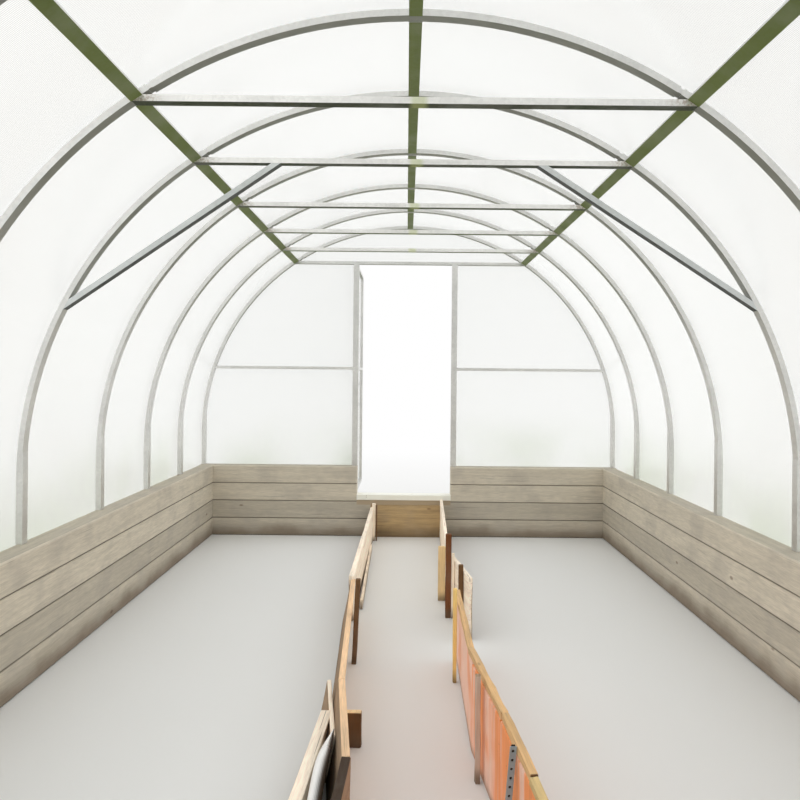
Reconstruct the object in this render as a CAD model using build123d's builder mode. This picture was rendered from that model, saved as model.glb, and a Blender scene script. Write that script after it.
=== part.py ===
from build123d import *
import os
from math import atan2, cos, degrees, hypot, radians, sin, tan

os.makedirs("parts", exist_ok=True)

# Millimetres. X runs across the house, Y along it towards the open door, Z up.
# The house is drawn round the middle of its frame, and each finished piece is moved
# so that zero lies on the floor under the middle of the whole outline, open door included.

# Main frame
frame_length = 6000.0          # between the centres of the two gable hoops
bay_count = 9
hoop_shifts = (0.0, 0.0, 0.0, -27.0, 0.0, -7.0, 83.0, 94.0, 72.0, 0.0)   # of each hoop, off even bays
hoop_radius = 1500.0           # outside of the half-round hoops
leg_height = 242.0             # straight leg under the half circle
tube_face = 20.0               # galvanised tube, narrow side
tube_depth = 40.0              # galvanised tube, wide side
splice_height = 110.0          # end of the leg strap above the arc's centre
strap_thickness = 6.0
purlin_angle = 56.2            # side purlins and the ends of the collar ties, above the horizontal
purlin_drop = 2.5              # of the purlins' outer face below the hoops' outside
splice_shift = 50.0            # of the crown's splice along the hoop from the side purlin's middle
splice_gap = 12.0
splice_step = 3.0              # of the splice's inner sleeve below the tube's faces
brace_bent = 6                 # the one hoop with knee braces, counted from the closed gable
brace_foot_angles = (27.1, 27.9)     # of the left and right brace's middle at the hoop's inside
brace_head_insets = (301.0, 328.0)   # of their middles at the tie, from the tie's ends
seat_gap = 0.3

# Timber base under the legs
base_height = 500.0
base_thickness = 100.0
base_courses = 4
course_chamfer = 6.0

# Cladding
sheet_thickness = 4.0
sheet_count = 3
sheet_overhang = 30.0          # past the outer face of each gable hoop
sheet_lap = 80.0               # down over the base
post_lap = 10.0                # of the gable sheets on the door posts

# Gable frames and doorways
opening_left = -368.0
opening_right = 307.0
post_width = 40.0
rail_height = 463.0            # middle of the gable rails above the arc's centre
notch_height = 226.0           # floor of the notch in the base at a doorway
sill_height = 36.0
cap_height = 36.0
cap_nose = 12.0

# Door leaves
door_clearance = 5.0
leaf_lap = 14.0                # of the leaf on posts and threshold
head_lap = 4.0
leaf_edge_gap = 9.0            # between the hinge axis and the leaf's edge
open_swing = 90.0              # the far leaf stands open, the near one is shut
knuckle_radius = 6.0
knuckle_height = 30.0
pin_radius = 3.5
pin_clearance = 0.3
hinge_strap = 6.0
hinge_inset = 250.0            # of each hinge from the leaf's top and bottom
handle_width = 20.0
handle_strip = 4.0             # flat steel bent to a bow
handle_length = 150.0
handle_grip = 100.0
handle_foot = 24.0
handle_reach = 40.0
handle_height = 1000.0

# Boards along the sunken path; the nearer ones on the left have tipped over towards it
board_thickness = 25.0
board_joint = 1.0              # between the ends of two runs that meet at an angle
row_left = 253.0               # middle of the left boards from the centre line, at the gables
row_right = 239.0              # middle of the right boards from the centre line, at the gables
left_height = 215.0
left_turn = (-267.0, 990.0)
low_lath = ((-240.0, 2440.0), (-229.0, 1180.0))
low_lath_height = 50.0
tip_angle = 10.8
tipped_height = 200.0
tipped_thickness = 22.0
tipped_run = ((-258.0, 1000.0), (-212.0, -190.0), (-160.0, -690.0))
old_run = ((-160.0, -689.0), (-162.0, -1300.0))
plank_height = 130.0
plank_thickness = 38.0
plank_run = ((-259.0, -262.0), (-286.0, -1300.0))
lath_thickness = 14.0
loose_lath = ((-268.0, -25.0), (-215.0, -443.0))
right_height = 276.0
right_thickness = 20.0
right_turn = (201.0, 1290.0)
right_end = (272.0, 748.0)
panel_line = ((196.0, 500.0), (193.0, -250.0), (233.0, -640.0), (280.0, -1200.0))   # its path side
panel_height = 271.0
panel_thickness = 12.0
batten_width = 24.0
batten_height = 24.0

# Stakes and blocks against the boards: middle across and along the house, width, depth, height
left_stakes = (
    (-228.0, 2770.0, 28.0, 28.0, 260.0),
    (-203.0, 2770.0, 24.0, 20.0, 250.0),
    (-217.0, 468.0, 20.0, 25.0, 340.0),
    (-181.0, -225.0, 70.0, 25.0, 110.0),
)
right_stakes = (
    (173.0, 1350.0, 40.0, 18.0, 280.0),
    (192.0, 1071.0, 29.0, 29.0, 400.0),
    (213.5, 1062.0, 16.0, 15.0, 310.0),
    (237.0, 860.0, 24.0, 24.0, 305.0),
)
panel_stakes = (
    (184.5, 286.0, 22.0, 18.0, 355.0),
    (201.5, -435.0, 22.0, 20.0, 308.0),
    (241.5, -830.0, 16.0, 2.5, 300.0),
)

# Worked out from the sizes above
bay_pitch = frame_length / bay_count
hoop_inner = hoop_radius - tube_face
arc_z = base_height + leg_height
tie_z = arc_z + hoop_inner * sin(radians(purlin_angle))
tie_reach = hoop_inner * cos(radians(purlin_angle))
rail_z = arc_z + rail_height
gable_face = (frame_length + tube_depth) / 2
course_height = base_height / base_courses
threshold_top = notch_height + sill_height + cap_height
leaf_depth = tube_face + sheet_thickness
leaf_bottom = threshold_top - leaf_lap
leaf_top = tie_z - tube_face / 2 + head_lap
leaf_width = opening_right - opening_left + 2 * leaf_lap
hinge_x = opening_left - leaf_lap - leaf_edge_gap
hinge_y = gable_face + door_clearance + leaf_depth / 2
hinge_levels = (leaf_bottom + hinge_inset, leaf_top - hinge_inset)
reach_far = hinge_y + leaf_edge_gap + leaf_width
reach_near = hinge_y + leaf_depth / 2 + handle_reach
outline_middle = (reach_far - reach_near) / 2


def save(builder, name):
    """Move a finished piece to the outline's middle, label it and write its STEP file."""
    piece = builder.part.moved(Location((0, -outline_middle, 0)))
    piece.label = name
    export_step(piece, f"parts/{name}.step")


def bent_y(number):
    """Place of a hoop along the house, 1 at the shut gable."""
    return -frame_length / 2 + (number - 1) * bay_pitch + hoop_shifts[number - 1]


def arch_outline(outer, foot_z):
    """A half circle on two straight sides that come down to foot_z."""
    with Locations((0, arc_z)):
        Circle(outer)
    with Locations((0, arc_z)):
        Rectangle(2 * outer, 2 * outer, align=(Align.CENTER, Align.MAX), mode=Mode.SUBTRACT)
        Rectangle(2 * outer, arc_z - foot_z, align=(Align.CENTER, Align.MAX))


def arch_band(plane, outer, inner, foot_z):
    """The band between two arches, drawn across the house."""
    with BuildSketch(plane) as band:
        arch_outline(outer, foot_z)
        with BuildSketch(mode=Mode.SUBTRACT):
            arch_outline(inner, foot_z)
    return band


# Base: timber courses that lap at the corners, odd and even ones in turn
for side, label in ((-1, "base_left"), (1, "base_right")):
    with BuildPart() as base:
        for course in range(base_courses):
            stop = gable_face - (course % 2) * base_thickness
            with BuildSketch(Plane.XZ) as section:
                with Locations((side * (hoop_radius - base_thickness / 2), (course + 0.5) * course_height)):
                    Rectangle(base_thickness, course_height)
                chamfer(section.vertices(), course_chamfer)
            extrude(amount=stop, both=True)
    save(base, label)

for end, label in ((-1, "base_near"), (1, "base_far")):
    with BuildPart() as base:
        for course in range(base_courses):
            stop = hoop_radius - (1 - course % 2) * base_thickness
            with BuildSketch(Plane.YZ) as section:
                with Locations((end * (gable_face - base_thickness / 2), (course + 0.5) * course_height)):
                    Rectangle(base_thickness, course_height)
                chamfer(section.vertices(), course_chamfer)
            extrude(amount=stop, both=True)
        with BuildSketch(Plane.XY.offset(notch_height)):
            with Locations(((opening_left + opening_right) / 2, end * gable_face)):
                Rectangle(opening_right - opening_left, 3 * base_thickness)
        extrude(amount=base_height, mode=Mode.SUBTRACT)
    save(base, label)

# Hoops: crown arc and two side arcs of tube, each crown splice open to its inner sleeve,
# with straight legs below and a strap inside each leg
splice_angle = purlin_angle + degrees(splice_shift / hoop_radius)
splice_radius = hoop_radius - tube_face / 2
for number in range(1, bay_count + 2):
    plane = Plane.XZ.offset(-bent_y(number))
    with BuildPart() as hoop:
        band = arch_band(plane, hoop_radius, hoop_inner, base_height)
        extrude(band.sketch, amount=tube_depth / 2, both=True)
        with BuildSketch(plane):
            for side in (-1, 1):
                with Locations((side * (hoop_inner - strap_thickness / 2), base_height)):
                    Rectangle(
                        strap_thickness,
                        leg_height + splice_height,
                        align=(Align.CENTER, Align.MIN),
                    )
        extrude(amount=tube_depth / 2, both=True)
        for angle in (splice_angle, 180 - splice_angle):
            outward = (cos(radians(angle)), 0, sin(radians(angle)))
            along = (-sin(radians(angle)), 0, cos(radians(angle)))
            centre = (splice_radius * outward[0], bent_y(number), arc_z + splice_radius * outward[2])
            with BuildSketch(Plane(origin=centre, x_dir=outward, z_dir=along)):
                Rectangle(2 * tube_face, 2 * tube_depth)
                Rectangle(tube_face - 2 * splice_step, tube_depth - 2 * splice_step, mode=Mode.SUBTRACT)
            extrude(amount=splice_gap / 2, both=True, mode=Mode.SUBTRACT)
    save(hoop, f"hoop_{number}")

# Collar ties: straight tubes between the hoop's two sides, one on each hoop inside the gables
for number in range(2, bay_count + 1):
    with BuildPart() as tie:
        with BuildSketch(Plane.XZ.offset(-bent_y(number))):
            with Locations((0, arc_z)):
                Circle(hoop_inner - seat_gap)
            with Locations((0, tie_z)):
                Rectangle(2 * hoop_radius, tube_face, mode=Mode.INTERSECT)
        extrude(amount=tube_depth / 2, both=True)
    save(tie, f"collar_tie_{number}")

# Purlins: short tubes between the hoops, inner faces level with the hoops' inside
purlin_lines = (("purlin_left", 180 - purlin_angle), ("purlin_right", purlin_angle), ("purlin_ridge", 90))
for label, angle in purlin_lines:
    middle = hoop_radius - purlin_drop - tube_face / 2
    purlin_x = middle * cos(radians(angle))
    purlin_z = arc_z + middle * sin(radians(angle))
    with BuildPart() as purlin:
        for number in range(1, bay_count + 1):
            start = bent_y(number) + tube_depth / 2
            stop = bent_y(number + 1) - tube_depth / 2
            with BuildSketch(Plane.XZ.offset(-start)):
                with Locations(Location((purlin_x, purlin_z), angle)):
                    Rectangle(tube_face, tube_depth)
            extrude(amount=start - stop)
    save(purlin, label)

# Knee braces: tubes welded in between the inside of one hoop and the underside of its tie
brace_top = tie_z - tube_face / 2 - seat_gap
brace_sides = ((-1, "knee_brace_left"), (1, "knee_brace_right"))
for (side, label), foot_angle, head_inset in zip(brace_sides, brace_foot_angles, brace_head_insets):
    foot_x = hoop_inner * cos(radians(foot_angle))
    foot_z = arc_z + hoop_inner * sin(radians(foot_angle))
    head_x = tie_reach - head_inset
    brace_slope = degrees(atan2(brace_top - foot_z, head_x - foot_x))
    brace_length = hypot(brace_top - foot_z, head_x - foot_x)
    brace_middle = ((foot_x + head_x) / 2, (foot_z + brace_top) / 2)
    with BuildPart() as brace:
        with BuildSketch(Plane.XZ.offset(-bent_y(brace_bent))):
            with Locations(Location((side * brace_middle[0], brace_middle[1]), side * brace_slope)):
                Rectangle(brace_length + 4 * tube_face, tube_face)
            with Locations((0, arc_z)):
                Circle(hoop_inner - seat_gap, mode=Mode.INTERSECT)
            with Locations((0, brace_top)):
                Rectangle(
                    2 * hoop_radius,
                    2 * hoop_radius,
                    align=(Align.CENTER, Align.MAX),
                    mode=Mode.INTERSECT,
                )
        extrude(amount=tube_depth / 2, both=True)
    save(brace, label)

# Roof sheets: cellular sheet bent over the hoops from base to base, butted on a hoop
sheet_inner = hoop_radius + seat_gap
cover_half = gable_face + sheet_overhang
bays_per_sheet = bay_count // sheet_count
for number in range(sheet_count):
    seam_start = bent_y(1 + number * bays_per_sheet) + seat_gap / 2
    seam_stop = bent_y(1 + (number + 1) * bays_per_sheet) - seat_gap / 2
    start = -cover_half if number == 0 else seam_start
    stop = cover_half if number == sheet_count - 1 else seam_stop
    with BuildPart() as sheet:
        plane = Plane.XZ.offset(-start)
        band = arch_band(plane, sheet_inner + sheet_thickness, sheet_inner, base_height - sheet_lap)
        extrude(band.sketch, amount=start - stop)
    save(sheet, f"roof_sheet_{number + 1}")


def gable_region(plane, left, right, low):
    """The part of the gable between two uprights and above a level."""
    with BuildSketch(plane) as region:
        arch_outline(hoop_radius, base_height - sheet_lap)
        with Locations((left, low)):
            Rectangle(right - left, 2 * hoop_radius, align=(Align.MIN, Align.MIN), mode=Mode.INTERSECT)
    return region


# Gables: a tube frame round the doorway, sheets beside and over it, and a threshold
for end, name in ((-1, "near"), (1, "far")):
    plane = Plane.XZ.offset(-end * frame_length / 2)
    with BuildPart() as gable_frame:
        with BuildSketch(plane):
            with Locations((0, arc_z)):
                Circle(hoop_inner - seat_gap)
            with Locations((0, tie_z)):
                Rectangle(2 * hoop_radius, tube_face, mode=Mode.INTERSECT)
            with Locations((opening_left, base_height)):
                Rectangle(post_width, tie_z - base_height, align=(Align.MAX, Align.MIN))
            with Locations((opening_right, base_height)):
                Rectangle(post_width, tie_z - base_height, align=(Align.MIN, Align.MIN))
        extrude(amount=tube_depth / 2, both=True)
        with BuildSketch(plane):
            with Locations((0, arc_z)):
                Circle(hoop_inner - seat_gap)
            with Locations((0, rail_z)):
                Rectangle(2 * hoop_radius, tube_face, mode=Mode.INTERSECT)
                Rectangle(2 * (post_width - opening_left), tube_face, mode=Mode.SUBTRACT)
            with Locations((opening_right + post_width, rail_z)):
                Rectangle(-opening_left - opening_right, tube_face, align=(Align.MIN, Align.CENTER))
        extrude(amount=tube_depth / 2, both=True)
        for level in hinge_levels:
            with BuildSketch(Plane.XY.offset(level)):
                with Locations((hinge_x, end * hinge_y)):
                    Circle(knuckle_radius)
                with Locations((hinge_x, end * (gable_face + hinge_y) / 2)):
                    Rectangle(2 * knuckle_radius, hinge_y - gable_face)
            extrude(amount=knuckle_height)
            with BuildSketch(Plane.XY.offset(level + knuckle_height)):
                with Locations((hinge_x, end * hinge_y)):
                    Circle(pin_radius)
            extrude(amount=knuckle_height)
    save(gable_frame, f"gable_frame_{name}")

    face = Plane.XZ.offset(-end * (gable_face + seat_gap))
    left_stop = opening_left - post_width + post_lap
    right_stop = opening_right + post_width - post_lap
    beside = base_height - sheet_lap
    pieces = (
        ("left", -hoop_radius, left_stop, beside),
        ("right", right_stop, hoop_radius, beside),
        ("over", left_stop, right_stop, leaf_top + door_clearance),
    )
    for place, left, right, low in pieces:
        with BuildPart() as gable_sheet:
            region = gable_region(face, left, right, low)
            extrude(region.sketch, amount=-end * sheet_thickness)
        save(gable_sheet, f"gable_sheet_{name}_{place}")

    with BuildPart() as threshold:
        with BuildSketch(Plane.YZ.offset(opening_left + seat_gap)):
            with Locations((end * (gable_face - base_thickness / 2), notch_height)):
                Rectangle(base_thickness, sill_height, align=(Align.CENTER, Align.MIN))
            cap_width = base_thickness + cap_nose
            with Locations((end * (gable_face - cap_width / 2), notch_height + sill_height)):
                Rectangle(cap_width, cap_height, align=(Align.CENTER, Align.MIN))
        extrude(amount=opening_right - opening_left - 2 * seat_gap)
    save(threshold, f"threshold_{name}")


def leaf_plane(end, swing, depth):
    """Upright plane of a leaf turned outwards by swing, depth outwards from its middle."""
    along = (cos(radians(swing)), end * sin(radians(swing)))
    out = (-sin(radians(swing)), end * cos(radians(swing)))
    origin = (hinge_x + out[0] * depth, end * hinge_y + out[1] * depth, 0)
    return Plane(origin=origin, x_dir=(along[0], along[1], 0), z_dir=(-end * out[0], -end * out[1], 0))


# Doors: a tube frame with a middle rail, its sheet outside, knuckles welded to its edge, and a handle
leaf_height = leaf_top - leaf_bottom
leaf_middle = (leaf_edge_gap + leaf_width / 2, (leaf_bottom + leaf_top) / 2)
bay_width = leaf_width - 2 * tube_face
lower_bay = rail_z - leaf_bottom - 1.5 * tube_face
upper_bay = leaf_top - rail_z - 1.5 * tube_face
for end, swing, name in ((-1, 0, "near_door"), (1, open_swing, "door")):
    with BuildPart() as door_frame:
        with BuildSketch(leaf_plane(end, swing, -leaf_depth / 2)):
            with Locations(leaf_middle):
                Rectangle(leaf_width, leaf_height)
            with Locations((leaf_middle[0], leaf_bottom + tube_face)):
                Rectangle(bay_width, lower_bay, align=(Align.CENTER, Align.MIN), mode=Mode.SUBTRACT)
            with Locations((leaf_middle[0], leaf_top - tube_face)):
                Rectangle(bay_width, upper_bay, align=(Align.CENTER, Align.MAX), mode=Mode.SUBTRACT)
        extrude(amount=-end * tube_face)
        for level in hinge_levels:
            knuckle_low = level + knuckle_height + seat_gap
            with BuildSketch(leaf_plane(end, swing, -hinge_strap / 2)):
                with Locations((0, knuckle_low)):
                    Rectangle(leaf_edge_gap, knuckle_height, align=(Align.MIN, Align.MIN))
            extrude(amount=-end * hinge_strap)
            with BuildSketch(Plane.XY.offset(knuckle_low)):
                with Locations((hinge_x, end * hinge_y)):
                    Circle(knuckle_radius)
            extrude(amount=knuckle_height)
            with BuildSketch(Plane.XY.offset(knuckle_low)):
                with Locations((hinge_x, end * hinge_y)):
                    Circle(pin_radius + pin_clearance)
            extrude(amount=knuckle_height, mode=Mode.SUBTRACT)
    save(door_frame, f"{name}_frame")

    with BuildPart() as door_sheet:
        with BuildSketch(leaf_plane(end, swing, leaf_depth / 2 - sheet_thickness)):
            with Locations(leaf_middle):
                Rectangle(leaf_width, leaf_height)
        extrude(amount=-end * sheet_thickness)
    save(door_sheet, f"{name}_sheet")

    handle_plane = leaf_plane(end, swing, leaf_depth / 2)
    handle_origin = handle_plane.from_local_coords((leaf_edge_gap + leaf_width - tube_face, handle_height, 0))
    bow_plane = Plane(origin=handle_origin, x_dir=-end * handle_plane.z_dir, z_dir=end * handle_plane.x_dir)
    with BuildPart() as handle:
        with BuildSketch(bow_plane):
            with BuildLine():
                bow = Polyline(
                    (handle_strip / 2, -handle_length / 2 - handle_foot),
                    (handle_strip / 2, -handle_length / 2),
                    (handle_reach - handle_strip / 2, -handle_grip / 2),
                    (handle_reach - handle_strip / 2, handle_grip / 2),
                    (handle_strip / 2, handle_length / 2),
                    (handle_strip / 2, handle_length / 2 + handle_foot),
                )
                offset(bow, amount=handle_strip / 2, side=Side.BOTH, kind=Kind.INTERSECTION)
            make_face()
        extrude(amount=handle_width / 2, both=True)
    save(handle, f"{name}_handle")


def board_run(points, thickness, height, base_z=0.0, tip=0.0):
    """Boards on edge from point to point, each straight and tipped by an angle over its foot."""
    slide = height * tan(radians(tip))
    for (x0, y0), (x1, y1) in zip(points, points[1:]):
        run = hypot(x1 - x0, y1 - y0)
        along = ((x1 - x0) / run, (y1 - y0) / run, 0)
        across = (-along[1], along[0], 0)
        with BuildSketch(Plane(origin=(x0, y0, base_z), x_dir=across, z_dir=along)) as section:
            with BuildLine():
                Polyline(
                    (-thickness / 2 - slide, 0),
                    (thickness / 2 - slide, 0),
                    (thickness / 2, height),
                    (-thickness / 2, height),
                    close=True,
                )
            make_face()
        extrude(section.sketch, amount=run)


def stakes(places):
    """Upright stakes that stand on the floor of the path."""
    for x, y, width, depth, height in places:
        with Locations((x, y, 0)):
            Box(width, depth, height, align=(Align.CENTER, Align.CENTER, Align.MIN))


def beside(points, shift):
    """The points moved across the house."""
    return tuple((x + shift, y) for x, y in points)


# Left row: an upright board with a low lath before it, tipped boards with a plank and a lath
# behind them, then old boards
row_end = gable_face - base_thickness - board_thickness - board_joint
with BuildPart() as path_left:
    board_run(((-row_left, row_end), left_turn), board_thickness, left_height)
    board_run(low_lath, lath_thickness, low_lath_height)
    board_run(tipped_run, tipped_thickness, tipped_height, tip=tip_angle)
    board_run(plank_run, plank_thickness, plank_height, tip=tip_angle)
    board_run(loose_lath, lath_thickness, plank_height, tip=tip_angle)
    board_run((*old_run, (-row_left, -row_end)), board_thickness, tipped_height)
    stakes(left_stakes)
save(path_left, "path_boards_left")

# Right row: boards, a painted panel with a batten along its top, and boards again
with BuildPart() as path_right:
    board_run(((row_right, row_end), right_turn, right_end), right_thickness, right_height)
    stakes(right_stakes)
save(path_right, "path_boards_right_far")

with BuildPart() as path_panel:
    board_run(beside(panel_line, panel_thickness / 2), panel_thickness, panel_height)
    board_run(beside(panel_line, batten_width / 2), batten_width, batten_height, panel_height)
    stakes(panel_stakes)
save(path_panel, "path_panel_right")

near_start = (panel_line[-1][0] + board_thickness / 2, panel_line[-1][1] - board_joint)
with BuildPart() as path_near:
    board_run((near_start, (row_right, -row_end)), board_thickness, left_height)
save(path_near, "path_boards_right_near")

# End boards: across the path under each threshold
end_board_y = gable_face - base_thickness - board_thickness / 2
for end, name in ((-1, "near"), (1, "far")):
    with BuildPart() as end_board:
        with Locations(((row_right - row_left) / 2, end * end_board_y, 0)):
            Box(
                row_left + row_right + board_thickness,
                board_thickness,
                notch_height,
                align=(Align.CENTER, Align.CENTER, Align.MIN),
            )
    save(end_board, f"end_board_{name}")
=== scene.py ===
import bpy
import numpy as np
from math import radians
from mathutils import Matrix, Vector


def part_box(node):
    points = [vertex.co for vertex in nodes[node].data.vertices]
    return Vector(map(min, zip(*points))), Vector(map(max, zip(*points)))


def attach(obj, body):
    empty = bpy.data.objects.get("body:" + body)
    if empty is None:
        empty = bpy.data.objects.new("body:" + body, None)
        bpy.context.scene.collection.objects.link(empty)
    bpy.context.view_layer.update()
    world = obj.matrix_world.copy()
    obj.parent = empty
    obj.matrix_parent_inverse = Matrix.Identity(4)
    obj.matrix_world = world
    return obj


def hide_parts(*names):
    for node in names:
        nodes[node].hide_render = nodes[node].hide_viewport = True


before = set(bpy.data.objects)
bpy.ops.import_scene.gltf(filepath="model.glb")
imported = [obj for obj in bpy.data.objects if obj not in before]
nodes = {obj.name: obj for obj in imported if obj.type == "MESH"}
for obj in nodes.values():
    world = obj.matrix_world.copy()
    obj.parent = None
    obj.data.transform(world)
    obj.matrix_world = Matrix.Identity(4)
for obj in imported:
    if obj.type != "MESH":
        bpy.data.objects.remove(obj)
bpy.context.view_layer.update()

# The view
# A standing look along the walkway from just inside the shut gable. The level axis meets the
# picture a little above and right of its middle, and the horizon is a shade off level.
eye = Vector((-0.017, -2.969, 1.16))
focal_px = 774.0
picture_px = 800.0
vanishing_px = (406.6, 375.0)
horizon_tilt = radians(0.55)
view = bpy.data.cameras.new("view")
view.sensor_width = 36.0
view.lens = view.sensor_width * focal_px / picture_px
view.shift_x = (picture_px / 2 - vanishing_px[0]) / picture_px
view.shift_y = (vanishing_px[1] - picture_px / 2) / picture_px
view.clip_start = 0.05
camera = bpy.data.objects.new("view", view)
bpy.context.scene.collection.objects.link(camera)
level_ahead = Matrix.Rotation(radians(90), 4, "X")
camera.matrix_world = Matrix.Translation(eye) @ level_ahead @ Matrix.Rotation(horizon_tilt, 4, "Z")
bpy.context.scene.camera = camera


# Studio: pale floor, even sky and two soft lamps outside the house
# The floor keeps the house's shadow and runs out into the same white as the sky, which
# shows behind and through the sheets and lights all sides.
def shader_tree(material):
    """The material's emptied node tree and its output node."""
    material.use_nodes = True
    tree = material.node_tree
    tree.nodes.clear()
    return tree, tree.nodes.new("ShaderNodeOutputMaterial")


def put(tree, kind, sockets=None, **settings):
    """A new shader node with its settings made and each named socket set or linked."""
    node = tree.nodes.new(kind)
    for key, value in settings.items():
        setattr(node, key, value)
    for key, value in (sockets or {}).items():
        if isinstance(value, bpy.types.NodeSocket):
            tree.links.new(value, node.inputs[key])
        else:
            node.inputs[key].default_value = value
    return node


def math(tree, operation, *values):
    """The result of a Math node on sockets or numbers."""
    return put(tree, "ShaderNodeMath", dict(enumerate(values)), operation=operation).outputs[0]


def remap(tree, value, low, high, out_low=0.0, out_high=1.0):
    """A value taken smoothly from one range to another."""
    sockets = {0: value, 1: low, 2: high, 3: out_low, 4: out_high}
    return put(tree, "ShaderNodeMapRange", sockets, interpolation_type="SMOOTHSTEP").outputs[0]


white = (1.0, 1.0, 1.0, 1.0)
floor_colour = (0.8, 0.8, 0.79, 1.0)
floor_reach = 30.0
fade_start, fade_stop = 4.0, 9.0
floor_paint = bpy.data.materials.new("studio_floor")
tree, surface_out = shader_tree(floor_paint)
paint = put(tree, "ShaderNodeBsdfPrincipled", {"Base Color": floor_colour, "Roughness": 0.9})
blank = put(tree, "ShaderNodeEmission", {"Color": white, "Strength": 1.0})
floor_spot = put(tree, "ShaderNodeTexCoord").outputs["Object"]
from_house = put(tree, "ShaderNodeVectorMath", {0: floor_spot}, operation="LENGTH").outputs["Value"]
rays = put(tree, "ShaderNodeLightPath").outputs
looked = math(tree, "MAXIMUM", rays["Is Camera Ray"], rays["Is Transmission Ray"])
looked = math(tree, "MAXIMUM", looked, rays["Is Glossy Ray"])
far_off = math(tree, "MULTIPLY", remap(tree, from_house, fade_start, fade_stop), looked)
floor_mix = put(tree, "ShaderNodeMixShader", {0: far_off, 1: paint.outputs[0], 2: blank.outputs[0]})
tree.links.new(floor_mix.outputs[0], surface_out.inputs["Surface"])
floor_mesh = bpy.data.meshes.new("studio_floor")
floor_corners = [(x * floor_reach, y * floor_reach, 0.0) for x, y in ((-1, -1), (1, -1), (1, 1), (-1, 1))]
floor_mesh.from_pydata(floor_corners, [], [(0, 1, 2, 3)])
floor_mesh.materials.append(floor_paint)
studio_floor = bpy.data.objects.new("studio_floor", floor_mesh)
bpy.context.scene.collection.objects.link(studio_floor)

sky = bpy.data.worlds.new("sky")
bpy.context.scene.world = sky
sky.use_nodes = True
tree = sky.node_tree
tree.nodes.clear()
even_sky = put(tree, "ShaderNodeBackground", {"Color": white, "Strength": 1.0})
put(tree, "ShaderNodeOutputWorld", {"Surface": even_sky.outputs[0]})

lamp_size = 9.0
lamp_target = Vector((0.0, 0.0, 0.8))
lamps = (("left_lamp", Vector((-6.0, -5.0, 6.0)), 290.0), ("right_lamp", Vector((6.5, 3.0, 5.0)), 180.0))
for name, place, power in lamps:
    lamp = bpy.data.lights.new(name, "AREA")
    lamp.size = lamp_size
    lamp.energy = power
    lamp_object = bpy.data.objects.new(name, lamp)
    bpy.context.scene.collection.objects.link(lamp_object)
    aim = (lamp_target - place).to_track_quat("-Z", "Y").to_matrix().to_4x4()
    lamp_object.matrix_world = Matrix.Translation(place) @ aim


# Timber base and end boards
# Squared softwood logs, four courses high, lapped at the corners and pinned; unpainted and
# weathered to a pinkish grey, damp and darker at the foot. A board closes each walkway end.
def dress(names, material):
    """Give CAD nodes one finish."""
    for name in names:
        mesh = nodes[name].data
        mesh.materials.clear()
        mesh.materials.append(material)


def paint_tone(red, green, blue):
    """A colour given in screen values, 0 to 255, as the shader takes it."""
    return tuple((np.array((red, green, blue)) / 255.0) ** 2.2)


def parts(tree, vector):
    """The X, Y and Z of a vector."""
    return put(tree, "ShaderNodeSeparateXYZ", {0: vector}).outputs


def stretched(tree, vector, scale):
    """A vector scaled along each axis, so that a texture on it is drawn out where it is small."""
    return put(tree, "ShaderNodeMapping", {"Vector": vector, "Scale": scale}).outputs[0]


def noise(tree, vector, scale, detail=2.0, **more):
    """The value of a noise texture."""
    sockets = {"Vector": vector, "Scale": scale, "Detail": detail, **more}
    return put(tree, "ShaderNodeTexNoise", sockets).outputs[0]


def scaled(tree, vector, factor):
    """A colour or vector times a number."""
    return put(tree, "ShaderNodeVectorMath", {0: vector, 3: factor}, operation="SCALE").outputs[0]


def blend_colour(tree, share, first, second):
    """Two colours mixed by a share, each a socket or a colour of three numbers."""
    node = put(tree, "ShaderNodeMix", data_type="RGBA")
    for key, value in ((0, share), (6, first), (7, second)):
        if isinstance(value, bpy.types.NodeSocket):
            tree.links.new(value, node.inputs[key])
        else:
            node.inputs[key].default_value = value if key == 0 else (*value, 1.0)
    return node.outputs[2]


def bumped(tree, height, strength, distance):
    """The normal of a surface that a height raises by up to a distance."""
    sockets = {"Height": height, "Strength": strength, "Distance": distance}
    return put(tree, "ShaderNodeBump", sockets).outputs[0]


def shaded(tree, out, sockets):
    """Join a Principled shader with these sockets to the material's output."""
    shader = put(tree, "ShaderNodeBsdfPrincipled", sockets)
    tree.links.new(shader.outputs[0], out.inputs["Surface"])


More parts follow.
